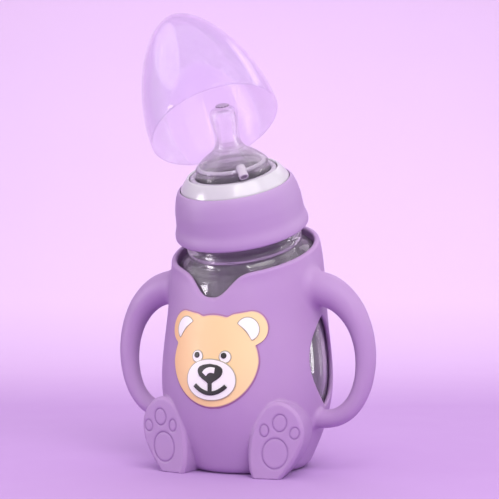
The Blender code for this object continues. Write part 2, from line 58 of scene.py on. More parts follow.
# Sleeve's outer wall as rings: lean in degrees, height, radius, forward shift.
BODY_RINGS = (
    (0.0, 0.0, 28.6, 0.0), (0.0, 5.5, 31.1, 0.0), (0.0, 12.0, 34.0, 0.0), (0.0, 20.0, 37.0, 0.0),
    (0.0, 29.0, 39.3, 0.0), (0.0, 38.0, 40.4, 0.0), (0.0, 47.0, 40.3, 0.0), (0.0, 56.0, 39.5, 0.0),
    (0.0, 65.0, 38.4, 0.0), (4.0, 74.0, 37.5, 0.0), (10.0, 84.0, 36.9, 0.2), (17.0, 93.5, 36.4, 0.8),
    (22.3, 100.4, 35.5, 1.5),
)
RING_BLUR = 3.5
RING_HEIGHT_BLUR = 0.5
RIM_HEIGHT = 6.4
RIM_RADIUS = 34.9
RIM_TAPER = 0.4
PAST_RIM = np.array([3.0, 8.0])
BASE_ROUNDING = 4.0
WALL_LOW = 2.0
WALL_TOP = 2.6
WALL_THICKENS = (72.0, 92.0)
SLEEVE_FLOOR = 2.5
CAVITY_ROUNDING = 3.0
LIP_ROUNDING = 1.15
NOTCH_MIDDLE = -2.4
NOTCH_SPREAD = 10.3
NOTCH_DEPTH = 8.9
NOTCH_POWER = 2.7
WINDOW_MIDDLE = 50.75
WINDOW_HALF_HEIGHT = 20.75
WINDOW_HALF_WIDTH = 14.2
WINDOW_POWER = 0.9
WINDOW_SIDE_SLOPE = 1.9
WINDOW_ROUNDING = 0.8
WINDOW_NEAREST_X = 22.0

HANDLE_PLANE_Y = -5.3
HANDLE_PATH = (
    (30.0, 84.6), (36.5, 84.2), (43.0, 82.5), (48.6, 79.2), (53.6, 74.0), (57.3, 67.5), (59.5, 60.5),
    (60.4, 53.5), (60.1, 46.5), (58.6, 39.5), (55.8, 33.3), (51.8, 28.6), (46.8, 25.6), (41.5, 24.5),
    (34.0, 24.3),
)
HANDLE_RADII = (8.0, 7.9, 7.6, 6.9, 6.2, 5.5, 5.05, 4.75, 4.45, 4.25, 4.1, 4.1, 4.1, 4.2, 4.4)
HANDLE_FILLET_TOP = 3.0
HANDLE_FILLET_BOTTOM = 1.8
HANDLE_FILLET_CHANGES = (35.0, 60.0)
HANDLE_NEAREST_X = 24.0

FOOT_X = 28.0
FOOT_SOLE_Y = -32.5
FOOT_TURN = math.radians(10.0)
FOOT_DEPTH = 22.0
FOOT_BEVEL = 1.3
FOOT_FILLET = 0.5
# Where the foot's distance is worked out: half width, top, depths before and behind the sole.
FOOT_BOX = (24.0, 46.0, -10.0, FOOT_DEPTH + 8.0)
FOOT_OUTLINE = (
    (-10.8, -4.0), (-11.2, 0.0), (-12.4, 4.0), (-12.8, 9.0), (-12.6, 14.0), (-11.7, 19.5), (-9.9, 25.0),
    (-7.0, 30.0), (-3.4, 33.2), (0.8, 34.3), (5.0, 33.2), (8.8, 30.2), (11.4, 26.0), (12.4, 21.2),
    (11.7, 16.0), (9.6, 11.0), (7.0, 6.6), (4.2, 2.8), (1.8, 0.0), (-1.5, -4.0),
)
# Paw lines: outward offset, height, width, height of the oval, outward lean in degrees.
PAW_OVALS = (
    (-0.6, 11.4, 11.4, 13.5, 8.0),
    (1.6, 24.9, 6.2, 7.6, 8.0),
    (-5.4, 21.4, 3.9, 5.4, 0.0),
    (8.3, 20.6, 4.2, 5.2, 12.0),
)
PAW_LINE_WIDTH = 0.31
PAW_LINE_DEPTH = 0.40
# Where the engraved lines lie: half width, bottom, depths before and behind the sole.
SOLE_BOX = (13.0, 1.0, -3.0, 1.5)

# Bear face, drawn flat round the sleeve's front: (distance round the sleeve, height).
FACE_WRAP_RADIUS = 39.5
FACE_ROUNDS = 6
REACH_STEP = 0.1
REACH_END = 32.0
HEAD_CENTRE = (0.0, 51.8)
HEAD_HALF = (21.3, 20.4)
HEAD_CHIN_NARROWING = 0.0045
EAR_INNER = (11.0, 65.5)
EAR_OUTER = (17.7, 66.6)
EAR_RADIUS = 7.4
EAR_CORNER = 0.9
EAR_SHIFT = 0.8
EAR_INSET_CENTRE = (15.7, 66.2)
EAR_INSET_RADIUS = 5.5
EAR_INSET_INNER_EDGE = 20.4
MUZZLE_CENTRE = (0.0, 43.7)
MUZZLE_HALF = (11.7, 9.35)
MUZZLE_POWER = 2.1
EYE_CENTRE = (6.6, 53.9)
EYE_RADIUS = 2.9
PUPIL_CENTRE = (6.4, 54.5)
PUPIL_SHIFT = -0.4
PUPIL_RADIUS = 1.3
NOSE_PROFILE = (
    (42.2, 1.0), (43.0, 1.9), (43.8, 3.2), (44.6, 4.2), (45.3, 4.95), (46.3, 5.5), (47.4, 5.8), (48.5, 5.7),
    (49.5, 4.9), (50.3, 3.2), (50.8, 0.0),
)
NOSE_CENTRE = (0.0, 47.2)
SHINE_PATH = ((-2.5, 46.2), (-1.3, 47.5), (0.4, 48.1), (2.3, 47.9))
SHINE_HALF_WIDTH = 1.25
SMILE_HALF_WIDTH = 7.2
SMILE_LOW = 37.7
SMILE_RISE = 3.45
MOUTH_THICKNESS = 1.9
PATCH_LIP = 0.75

# The sleeve's mesh: the grid it is first meshed on, and how long its edges may be afterwards.
CELL = 1.1
GRID_BOX = ((-67.0, -44.0, -2.0), (67.0, 43.0, 119.0))
PLAIN_EDGE = 2.0
FINE_EDGE = 0.5
FINEST_EDGE = 0.25
# What a distance says where it isn't worked out.
FAR = 50.0

# How many sides the turned pieces have.
SIDES = 144
TEAT_SIDES = 160
CAP_SIDES = 192
VENT_SIDES = 40

# The glass bottle. Its foot is (radius, height over its base, softness of the corner); its neck and lip are
# (radius, height along the neck axis, softness of the corner).
GLASS_GAP = 0.35
GLASS_WALL = 2.0
GLASS_BASE = 2.8
GLASS_FOOT = ((18.0, 1.2, 0.0), (21.0, 0.0, 2.0), (26.4, 0.0, 4.0), (29.6, 6.0, 3.0))
GLASS_INNER_FLOOR = ((26.6, 7.0), (22.0, 5.2), (0.0, 5.0))
GLASS_BODY_START = 7.0
GLASS_BODY_BELOW_RIM = 11.5
GLASS_BODY_ROWS = 38
GLASS_NECK = (
    (32.3, 2.4, 0.0), (30.9, 4.0, 1.0), (28.2, 5.7, 1.5), (26.8, 7.4, 1.0), (26.8, 8.4, 0.5),
    (27.35, 9.9, 1.6), (26.8, 11.3, 0.5), (25.6, 12.0, 1.0), (25.3, 14.0, 0.0),
)
GLASS_LIP = (
    (25.3, 33.5, 0.0), (25.0, 34.8, 0.9), (23.0, 34.8, 0.9), (22.7, 33.5, 0.5), (22.7, 12.0, 3.0),
    (24.8, 7.0, 3.0), (27.6, 3.0, 2.0),
)
THREAD_ROWS = np.arange(14.0, 33.4, 0.35)
THREAD_START = 17.5
THREAD_PITCH = 4.2
THREAD_TURNS = 3
THREAD_DEPTH = 0.8
THREAD_WIDTH = 0.75

# Screw top, as (radius, height along the neck axis, softness of the corner).
COLLAR_SHELL = (
    (28.6, 16.2, 0.4), (29.0, 15.7, 0.3), (30.9, 15.7, 0.7), (31.4, 16.4, 0.5), (31.4, 18.6, 1.8),
    (30.15, 22.1, 1.6), (29.9, 25.6, 1.5), (29.6, 29.2, 1.1), (28.95, 32.5, 2.0),
    (28.3, 35.0, 2.0), (27.4, 37.3, 1.6), (26.4, 38.75, 0.8), (25.75, 38.9, 0.3), (25.75, 37.8, 0.3),
    (26.8, 36.0, 0.6), (27.6, 32.7, 1.5), (28.6, 27.6, 1.0),
)
COLLAR_CORE = (
    (27.0, 16.4, 0.3), (28.3, 16.4, 0.3), (28.3, 27.5, 1.0), (27.3, 32.5, 1.5), (26.5, 35.8, 1.0),
    (25.45, 37.6, 0.5), (25.4, 39.0, 0.9), (23.4, 41.9, 1.4), (21.35, 44.25, 0.7), (20.7, 44.1, 0.5),
    (20.55, 43.0, 0.6), (24.1, 37.1, 0.3), (26.0, 37.1, 0.3), (26.0, 30.4, 0.3), (27.0, 29.4, 0.3),
)

# Teat, as (radius, height along the neck axis).
TEAT_OUTSIDE = (
    (0.55, 74.4), (0.6, 75.4), (2.2, 75.6), (2.85, 75.2), (3.1, 74.6), (4.7, 74.2), (5.75, 73.2),
    (6.25, 71.6), (6.35, 69.8), (6.05, 66.0), (5.7, 62.0), (5.8, 59.0), (6.7, 56.6), (8.7, 54.3),
    (11.6, 52.2), (15.0, 49.7),
    (16.7, 47.9), (17.1, 46.9), (16.9, 46.1), (17.0, 45.3), (17.3, 44.5), (17.2, 43.3), (16.8, 42.4),
    (16.7, 41.6), (17.6, 40.4), (20.4, 39.2), (22.3, 38.2), (23.4, 36.9), (25.2, 36.8),
)
TEAT_INSIDE = (
    (25.2, 35.3), (21.6, 35.3), (19.4, 37.0), (16.9, 39.4), (15.6, 41.8), (15.8, 44.2), (14.2, 47.4),
    (10.7, 50.4), (7.4, 52.9), (5.2, 55.3), (4.0, 58.6), (3.7, 62.0), (4.0, 66.0), (4.2, 69.6),
    (3.9, 71.4), (2.8, 72.6), (0.6, 72.8),
)
TEAT_TIP = (
    (0.0, 74.8, 0.0), (2.7, 74.8, 0.2), (3.0, 75.4, 0.4), (2.5, 75.9, 0.4), (1.6, 75.8, 0.3),
    (0.9, 75.65, 0.2), (0.0, 75.65, 0.0),
)
TIP_LOBES = 12
TIP_LOBE_DEPTH = 0.07
# Thick milky rings in the teat's base, as (name, radius, height along the neck axis, half thickness).
TEAT_ROLLS = (("teat_roll_low", 19.0, 42.7, 1.35), ("teat_roll_high", 14.9, 47.5, 0.95))
ROLL_SIDES = 16
TEAT_RIDGES = (51.2, 52.8)
TEAT_RIDGE_DEPTH = 0.26
TEAT_RIDGE_WIDTH = 0.4
NIB_RINGS = (70.9, 72.1)
NIB_RING_DEPTH = 0.1
NIB_RING_WIDTH = 0.35
VENT_AZIMUTH = math.radians(38.0)
VENT_START = (16.0, 50.0)
VENT_END = (20.6, 46.2)
VENT_RADIUS = 2.2
VENT_BORE = 1.4
VENT_BORE_DEPTH = 4.0

CAP_SEAT = 22.3
CAP_RADIUS = 31.4
CAP_WALL = 1.1
CAP_HEIGHT = 67.0
CAP_STRAIGHT = 4.0
CAP_ROUNDNESS = 1.68
CAP_RIM_SOFTNESS = 0.4
CAP_HINGE_REACH = 55.0
CAP_HINGE_AZIMUTH = math.radians(130.0)
CAP_HINGE_RISE = -2.0
CAP_OPENING = math.radians(47.3)

CAMERA_YAW = math.radians(23.7)
CAMERA_RISE = math.radians(-0.67)
CAMERA_DISTANCE = 0.600
CAMERA_LENS = 91.5
CAMERA_SENSOR = 36.0
CAMERA_TARGET_HEIGHT = 0.10184
CAMERA_TARGET_RIGHT = 0.00094
WALL = (0.88, 0.66, 0.95)
FLOOR = (0.54, 0.33, 0.67)
SKY = (0.98, 0.93, 1.0)
SKY_STRENGTH = 0.72
# The paper sweep, in metres, and where its colour turns from the floor's to the wall's.
SWEEP_HALF_WIDTH = 1.6
SWEEP_START = -6.0
SWEEP_BEND = 0.5
SWEEP_RADIUS = 0.6
SWEEP_TOP = 2.2
WALL_FROM = (0.25, 0.75)
# The lights aim at a point this high, in metres. Each light: name, (to the camera's right, up, towards the
# camera) in metres, size, watts, colour, whether it lights matt surfaces, and whether it is reflected.
LIGHTS_AIM = 0.1
STUDIO_LIGHTS = (
    ("key", (0.28, 0.85, 0.91), (1.0, 1.0), 10.6, (1.0, 0.98, 0.97), True, True),
    ("fill", (-0.90, 0.35, 0.50), (0.7, 0.7), 0.2, (0.97, 0.95, 1.0), True, True),
    ("back", (0.10, 0.80, -0.70), (1.0, 0.5), 2.5, (1.0, 0.96, 1.0), True, False),
    ("sheen_left", (-0.60, 0.68, -0.22), (0.95, 0.55), 1.2, (1.0, 0.93, 1.0), False, True),
    ("sheen_right", (0.78, 0.56, 0.12), (0.75, 0.75), 2.0, (1.0, 0.93, 1.0), False, True),
    ("sheen_back", (0.46, 0.68, -0.55), (0.55, 0.22), 0.5, (1.0, 0.93, 1.0), False, True),
    ("notch_glint", (-0.49, 0.08, 0.13), (0.15, 0.32), 2.0, (1.0, 0.95, 1.0), False, True),
    ("strip_right", (0.97, 0.05, -0.26), (0.10, 1.00), 2.2, (1.0, 0.98, 1.0), False, True),
    ("strip_front", (-0.10, 0.62, 0.80), (0.08, 0.50), 0.9, (1.0, 0.98, 1.0), False, True),
)


# ---- curves and distances

def smooth_table(xs, ys, blur, step=0.25):
    """A finely sampled, slightly blurred curve through the points, as a function."""
    grid = np.arange(xs[0], xs[-1] + step, step)
    reach = int(4 * blur / step)
    values = np.interp(grid, xs, ys)
    before = values[0] + (values[1] - values[0]) * np.arange(-reach, 0)
    after = values[-1] + (values[-1] - values[-2]) * np.arange(1, reach + 1)
    weights = np.exp(-0.5 * (np.arange(-reach, reach + 1) * step / blur) ** 2)
    smooth = np.convolve(np.concatenate([before, values, after]), weights / weights.sum(), "valid")
    return lambda at: np.interp(at, grid, smooth)


def through(points, per_span=8, closed=False):
    """Catmull-Rom points through the given ones."""
    points = np.asarray(points, float)
    if closed:
        padded = np.concatenate([points[-1:], points, points[:2]])
    else:
        first = 2 * points[0] - points[1]
        last = 2 * points[-1] - points[-2]
        padded = np.concatenate([[first], points, [last]])
    share = np.arange(per_span)[:, None] / per_span
    made = []
    for a, b, c, d in zip(padded, padded[1:], padded[2:], padded[3:]):
        made.append(
            b + 0.5 * share * (c - a + share * (2 * a - 5 * b + 4 * c - d + share * (3 * (b - c) + d - a)))
        )
    made = np.concatenate(made)
    return made if closed else np.concatenate([made, points[-1:]])


def turn_angles(count):
    """The angles of this many places round a circle."""
    return 2 * math.pi * np.arange(count) / count


def round_and(a, b, radius):
    """Distance to what lies in both shapes, its convex edge rounded."""
    both = np.hypot(np.maximum(a + radius, 0.0), np.maximum(b + radius, 0.0)) - radius
    return np.where(np.maximum(a, b) < -radius, np.maximum(a, b), both)


def round_or(a, b, radius):
    """Distance to what lies in either shape, the corner between them filled with a fillet."""
    radius = np.maximum(radius, 1e-6)
    fillet = radius - np.hypot(np.maximum(radius - a, 0.0), np.maximum(radius - b, 0.0))
    return np.where(np.minimum(a, b) > radius, np.minimum(a, b), fillet)


def to_segments(u, v, points):
    """Distance from (u, v) to a line of points, and how far along the line the nearest place is."""
    best = np.full(u.shape, np.inf)
    along = np.zeros(u.shape)
    for i, (start, end) in enumerate(zip(points, points[1:])):
        du, dv = end - start
        share = np.clip(((u - start[0]) * du + (v - start[1]) * dv) / (du * du + dv * dv), 0.0, 1.0)
        distance = np.hypot(u - start[0] - share * du, v - start[1] - share * dv)
        nearer = distance < best
        best[nearer] = distance[nearer]
        along[nearer] = i + share[nearer]
    return best, along


def in_polygon(u, v, points):
    """Signed distance to a closed outline, negative inside."""
    loop = np.concatenate([points, points[:1]])
    distance, _ = to_segments(u, v, loop)
    inside = np.zeros(u.shape, bool)
    for (u0, v0), (u1, v1) in zip(loop, loop[1:]):
        if v0 == v1:
            continue
        crosses = (v0 > v) != (v1 > v)
        inside ^= crosses & (u < (u1 - u0) * (v - v0) / (v1 - v0) + u0)
    return np.where(inside, -distance, distance)


def smoothstep(low, high, at):
    """0 up to low, 1 from high on, and a soft step between."""
    share = np.clip((at - low) / (high - low), 0.0, 1.0)
    return share * share * (3.0 - 2.0 * share)


# ---- the sleeve's distance field

def ring_tables():
    """Each ring's height, place in Y, lean, radius and slope as functions of its number; the last number."""
    lean, number, radius, shift = (np.array(column) for column in zip(*BODY_RINGS))
    ys = np.concatenate([-shift, -shift[-1] + PAST_RIM * NECK_AXIS[1]])
    zs = np.concatenate([number, number[-1] + PAST_RIM * NECK_AXIS[2]])
    radii = np.concatenate([radius, [RIM_RADIUS, RIM_RADIUS - RIM_TAPER]])
    leans = np.radians(np.concatenate([lean, [lean[-1]] * 2]))
    numbers = np.concatenate([number, number[-1] + PAST_RIM])
    columns = (ys, leans, radii, np.gradient(radii, numbers))
    curves = [smooth_table(numbers, column, RING_BLUR) for column in columns]
    return smooth_table(numbers, zs, RING_HEIGHT_BLUR), *curves, numbers[-1]


HALVINGS = 13
RING_Z, RING_Y, RING_LEAN, RING_RADIUS, RING_SLOPE, LAST_RING = ring_tables()
HANDLE_LINE = through(HANDLE_PATH, 4)
HANDLE_RADIUS = through([(r, 0.0) for r in HANDLE_RADII], 4)[:, 0]
FOOT_LINE = through(FOOT_OUTLINE, 4, closed=True)


def wall_thickness(height):
    """The sleeve's wall, which thickens towards the rim."""
    return WALL_LOW + (WALL_TOP - WALL_LOW) * smoothstep(*WALL_THICKENS, height)


def sleeve_side(p):
    """Distance to the sleeve's outer wall, taken as endless up and down."""
    y, z = p[:, 1], p[:, 2]
    low = np.zeros(len(p))
    high = np.full(len(p), LAST_RING)
    for _ in range(HALVINGS):
        middle = (low + high) / 2
        lean = RING_LEAN(middle)
        up = (z - RING_Z(middle)) * np.cos(lean) > (y - RING_Y(middle)) * np.sin(lean)
        low = np.where(up, middle, low)
        high = np.where(up, high, middle)
    ring = (low + high) / 2
    lean = RING_LEAN(ring)
    back = (y - RING_Y(ring)) * np.cos(lean) + (z - RING_Z(ring)) * np.sin(lean)
    return (np.hypot(p[:, 0], back) - RING_RADIUS(ring)) / np.sqrt(1.0 + RING_SLOPE(ring) ** 2)


def rim_distance(p):
    """How far a point is above the rim, which dips at the front in a soft V."""
    height = (p - NECK_PIVOT) @ NECK_AXIS
    back = (p - NECK_PIVOT) @ NECK_BACK
    share = np.abs(p[:, 0] - NOTCH_MIDDLE) / NOTCH_SPREAD
    dip = np.exp(-(share ** NOTCH_POWER))
    slope = NOTCH_DEPTH / NOTCH_SPREAD * NOTCH_POWER * share ** (NOTCH_POWER - 1.0) * dip
    notched = (height - RIM_HEIGHT + NOTCH_DEPTH * dip) / np.sqrt(1.0 + slope ** 2)
    return np.where(back < 0, notched, height - RIM_HEIGHT)


def window_distance(p):
    """Distance to the leaf-shaped window, endless along X."""
    across = np.abs(p[:, 1])
    share = np.clip(np.abs(p[:, 2] - WINDOW_MIDDLE) / WINDOW_HALF_HEIGHT, 0.0, 1.3)
    left = 1.0 - share ** 2
    half = WINDOW_HALF_WIDTH * np.sign(left) * np.abs(left) ** WINDOW_POWER
    slope = WINDOW_HALF_WIDTH * WINDOW_SIDE_SLOPE * share / WINDOW_HALF_HEIGHT
    return (across - half) / np.sqrt(1.0 + slope ** 2)


def handle_distance(p):
    """Distance to the handles, whose thickness changes along their line."""
    across = np.abs(p[:, 0])
    near = across > HANDLE_NEAREST_X
    distance = np.full(len(p), FAR)
    flat, along = to_segments(across[near], p[near, 2], HANDLE_LINE)
    radius = np.interp(along, np.arange(len(HANDLE_RADIUS)), HANDLE_RADIUS)
    distance[near] = np.hypot(flat, p[near, 1] - HANDLE_PLANE_Y) - radius
    return distance


def sole_coordinates(p):
    """Outwards across the sole, depth behind it, and height."""
    across = np.abs(p[:, 0]) - FOOT_X
    behind = p[:, 1] - FOOT_SOLE_Y
    cos, sin = math.cos(FOOT_TURN), math.sin(FOOT_TURN)
    return across * cos + behind * sin, behind * cos - across * sin, p[:, 2]


def foot_distance(p):
    """Distance to the feet: slabs with a chamfered edge."""
    outward, depth, height = sole_coordinates(p)
    distance = np.full(len(p), FAR)
    half, top, before, behind = FOOT_BOX
    near = (np.abs(outward) < half) & (height < top) & (depth > before) & (depth < behind)
    outline = in_polygon(outward[near], height[near], FOOT_LINE)
    slab = np.maximum(-depth[near], depth[near] - FOOT_DEPTH)
    distance[near] = np.maximum(np.maximum(outline, slab), (outline + slab + FOOT_BEVEL) * math.sqrt(0.5))
    return distance


def paw_lines(p):
    """1 along the middle of each engraved line on the soles, fading to 0 beside it: how deep the line is
    sunk, and how much painted shade it gets.
    """
    outward, depth, height = sole_coordinates(p)
    half, bottom, before, behind = SOLE_BOX
    on_sole = (np.abs(outward) < half) & (height > bottom) & (depth > before) & (depth < behind)
    line = np.zeros(len(p))
    for across, middle, width, tall, lean in PAW_OVALS:
        turn = math.radians(lean)
        du, dz = outward[on_sole] - across, height[on_sole] - middle
        u = (du * math.cos(turn) - dz * math.sin(turn)) / (width / 2)
        v = (du * math.sin(turn) + dz * math.cos(turn)) / (tall / 2)
        radius = np.hypot(u, v)
        steepness = np.hypot(u / (width / 2), v / (tall / 2)) / np.maximum(radius, 1e-6)
        distance = (radius - 1.0) / np.maximum(steepness, 1e-6)
        line[on_sole] = np.maximum(line[on_sole], np.exp(-((distance / PAW_LINE_WIDTH) ** 2)))
    return line


def head_distance(across, height):
    """Signed distance to the outline of the bear's head, in the flat drawing."""
    along = np.abs(across)
    below = np.maximum(HEAD_CENTRE[1] - height, 0.0)
    u = along / (1.0 - HEAD_CHIN_NARROWING * below) / HEAD_HALF[0]
    v = (height - HEAD_CENTRE[1]) / HEAD_HALF[1]
    radius = np.maximum(np.hypot(u, v), 1e-6)
    head = (radius - 1.0) * radius / np.maximum(np.hypot(u / HEAD_HALF[0], v / HEAD_HALF[1]), 1e-9)
    ear, _ = to_segments(np.abs(across - EAR_SHIFT), height, np.array([EAR_INNER, EAR_OUTER]))
    return round_or(head, ear - EAR_RADIUS, EAR_CORNER)


def silicone(p):
    """Distance to the moulded sleeve with its handles and feet."""
    side = sleeve_side(p)
    body = round_and(side, -p[:, 2], BASE_ROUNDING)
    window = np.where(np.abs(p[:, 0]) > WINDOW_NEAREST_X, window_distance(p), FAR)
    body = round_and(body, -window, WINDOW_ROUNDING)
    upper = smoothstep(*HANDLE_FILLET_CHANGES, p[:, 2])
    fillet = HANDLE_FILLET_BOTTOM + (HANDLE_FILLET_TOP - HANDLE_FILLET_BOTTOM) * upper
    body = round_or(body, handle_distance(p), fillet)
    body = round_or(body, foot_distance(p), FOOT_FILLET)
    body = np.maximum(body, -p[:, 2])
    cavity = round_and(side + wall_thickness(p[:, 2]), SLEEVE_FLOOR - p[:, 2], CAVITY_ROUNDING)
    open_top = round_and(-cavity, rim_distance(p), LIP_ROUNDING)
    body = round_and(body, open_top, LIP_ROUNDING)
    return body + PAW_LINE_DEPTH * paw_lines(p)


# ---- materials

MATERIALS = {}


class Finish:
    """A material's node tree, with short calls for the nodes these surfaces need."""

    def __init__(self, name):
        self.material = bpy.data.materials.new(name)
        self.material.use_nodes = True
        self.tree = self.material.node_tree
        self.place = self.node("ShaderNodeTexCoord", "Object")
        MATERIALS[name] = self.material

    def feed(self, node, sockets):
        """Links each of these inputs to a socket, or sets its value."""
        for key, value in sockets.items():
            if isinstance(value, bpy.types.NodeSocket):
                self.tree.links.new(value, node.inputs[key])
            else:
                node.inputs[key].default_value = value

    def node(self, kind, output, sockets=None, **settings):
        """An output of a new node."""
        made = self.tree.nodes.new(kind)
        for key, value in settings.items():
            setattr(made, key, value)
        self.feed(made, sockets or {})
        return made.outputs[output]

    def set(self, **values):
        shader = self.tree.nodes["Principled BSDF"]
        self.feed(shader, {key.replace("_", " "): value for key, value in values.items()})

    def noise(self, scale, roughness=0.5):
        sockets = {"Scale": scale, "Detail": 3.0, "Roughness": roughness, "Vector": self.place}
        return self.node("ShaderNodeTexNoise", "Fac", sockets)

    def span(self, source, low, high, start=0.0, end=1.0):
        """The source, read from start to end, spread over low to high."""
        sockets = {"From Min": start, "From Max": end, "To Min": low, "To Max": high, "Value": source}
        return self.node("ShaderNodeMapRange", "Result", sockets)

    def along(self, axis, start, end):
        """0 to 1 from one place to another along an axis, in metres."""
        return self.span(self.node("ShaderNodeSeparateXYZ", axis, {0: self.place}), 0.0, 1.0, start, end)

    def mix(self, share, first, second):
        first, second = ((*value, 1.0) if isinstance(value, tuple) else value for value in (first, second))
        return self.node("ShaderNodeMix", 2, {0: share, 6: first, 7: second}, data_type="RGBA")

    def drift(self, scale, low, high):
        """A value that wanders softly between two over the surface."""
        return self.span(self.noise(scale), low, high, 0.3, 0.7)

    def mottled(self, colour, other, scale):
        return self.mix(self.drift(scale, 0.0, 1.0), colour, other)

    def roughness(self, low, high, scale):
        self.set(Roughness=self.drift(scale, low, high))

    def grain(self, scale, depth, strength):
        """Fine bumps, depth in metres."""
        sockets = {"Strength": strength, "Distance": depth, "Height": self.noise(scale, 0.6)}
        self.set(Normal=self.node("ShaderNodeBump", "Normal", sockets))

    def paint(self, colour, mark=None):
        """Sets the colour; mark is a mesh attribute and the colour it turns to where that is 1."""
        if mark:
            marked = self.node("ShaderNodeAttribute", "Fac", attribute_name=mark[0])
            colour = self.mix(marked, colour, mark[1])
        self.set(Base_Color=colour)


LILAC = (0.480, 0.305, 0.555)
LILAC_COOL = (0.462, 0.290, 0.550)
# Painted shade: the darker lilac of the engraved paw lines, standing for the shade in these grooves.
LILAC_GROOVE_SHADE = (0.310, 0.165, 0.400)
LILAC_LINE = (0.380, 0.175, 0.360)
FACE_GRAIN = (2600.0, 0.00004, 0.3)


def coat(name, colours, roughness, grain, mark=None, **settings):
    """A material of one softly mottled colour; the tuples hold what those calls of a Finish take."""
    finish = Finish(name)
    finish.paint(finish.mottled(*colours), mark)
    finish.set(**settings)
    finish.roughness(*roughness)
    finish.grain(*grain)


def opaque_materials():
    """The sleeve has painted shade in its engraved lines, and the pieces of the face are darker along their
    outlines.
    """
    # Painted shade: where the "line" attribute is 1, the sleeve turns to the darker groove lilac.
    coat("lilac_silicone", (LILAC, LILAC_COOL, 45.0), (0.50, 0.60, 120.0), (2600.0, 0.00004, 0.35),
         ("line", LILAC_GROOVE_SHADE), Specular_IOR_Level=0.3, Subsurface_Weight=0.12, Subsurface_Scale=0.004,
         Subsurface_Radius=(1.0, 0.6, 1.0))
    white = (0.96, 0.95, 0.92), (0.93, 0.92, 0.89), 70.0
    coat("white_silicone", white, (0.42, 0.50, 150.0), FACE_GRAIN, ("edge", (0.40, 0.36, 0.26)))
    black = (0.016, 0.015, 0.015), (0.022, 0.021, 0.021), 70.0
    coat("black_silicone", black, (0.50, 0.58, 150.0), FACE_GRAIN, ("edge", black[0]))
    lilac = (0.490, 0.332, 0.565), (0.474, 0.318, 0.560), 45.0
    coat("lilac_plastic", lilac, (0.50, 0.57, 150.0), (3200.0, 0.00003, 0.3), Specular_IOR_Level=0.3)
    white = (0.66, 0.65, 0.67), (0.62, 0.61, 0.64), 60.0
    coat("white_plastic", white, (0.16, 0.24, 90.0), (500.0, 0.00002, 0.25))


def peach_silicone():
    """The bear's head: painted light makes it paler towards +X and painted shade deeper towards -X, with a
    lilac outline.
    """
    finish = Finish("peach_silicone")
    # Painted light and shade: the peach pales towards +X, the side the key light falls on, and deepens
    # towards -X.
    body = finish.mix(finish.along("X", -0.022, 0.022), (0.960, 0.610, 0.270), (0.945, 0.735, 0.380))
    warm = finish.mix(finish.span(finish.noise(60.0), 0.0, 0.12), body, (0.99, 0.62, 0.38))
    finish.paint(warm, ("edge", LILAC_LINE))
    finish.set(Specular_IOR_Level=0.4)
    finish.roughness(0.45, 0.55, 150.0)
    finish.grain(*FACE_GRAIN)


def see_through(name, colours, roughness, grain, clearness, ior, alpha=1.0):
    coat(name, colours, roughness, grain, Transmission_Weight=clearness, IOR=ior, Alpha=alpha)


def clear_materials():
    """The glass, the teat and the cap, and the teat's silicone where it is thick or textured, so milky."""
    glass = (0.80, 0.75, 0.83), (0.76, 0.70, 0.80), 30.0
    see_through("glass", glass, (0.0, 0.03, 40.0), (25.0, 0.0006, 0.2), 0.9, 1.47, 0.88)
    teat = (1.0, 0.98, 1.0), (0.97, 0.95, 0.98), 80.0
    see_through("clear_silicone", teat, (0.0, 0.03, 120.0), (260.0, 0.0001, 0.12), 0.94, 1.32, 0.52)
    cap = (0.80, 0.64, 0.93), (0.77, 0.61, 0.92), 25.0
    see_through("cap_plastic", cap, (0.02, 0.05, 60.0), (30.0, 0.0003, 0.15), 0.6, 1.4, 0.38)
    for name, colour, other in (
        ("milky_silicone", (0.66, 0.60, 0.68), (0.58, 0.52, 0.61)),
        ("roll_silicone", (0.60, 0.54, 0.63), (0.50, 0.45, 0.54)),
        ("tip_silicone", (0.46, 0.36, 0.50), (0.36, 0.27, 0.40)),
    ):
        see_through(name, (colour, other, 300.0), (0.2, 0.3, 300.0), (900.0, 0.00004, 0.3), 0.1, 1.41)


def mark(mesh, name, values):
    """Gives the mesh an attribute, one value to a point, that a material can read."""
    attribute = mesh.attributes.new(name, "FLOAT", "POINT")
    attribute.data.foreach_set("value", np.asarray(values, np.float32))


def add_piece(name, mesh, body, slot, *nodes, finish=None):
    """A shown piece, its mesh already in place, that rides on a body and stands for some CAD nodes."""
    mesh.name = name
    mesh.materials.clear()
    mesh.materials.append(MATERIALS[finish or slot])
    mesh.polygons.foreach_set("use_smooth", [True] * len(mesh.polygons))
    piece = bpy.data.objects.new(name, mesh)
    bpy.context.scene.collection.objects.link(piece)
    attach(piece, body)
    if nodes:
        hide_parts(*nodes)


# ---- meshing the field

def grid_values(field):
    """The field on a regular grid, worked out in slices to save memory."""
    axes = [np.arange(low, high + CELL, CELL) for low, high in zip(*GRID_BOX)]
    values = np.empty([len(axis) for axis in axes])
    y, z = np.meshgrid(axes[1], axes[2], indexing="ij")
    for i, x in enumerate(axes[0]):
        p = np.column_stack([np.full(y.size, x), y.ravel(), z.ravel()])
        values[i] = field(p).reshape(y.shape)
    return axes, values


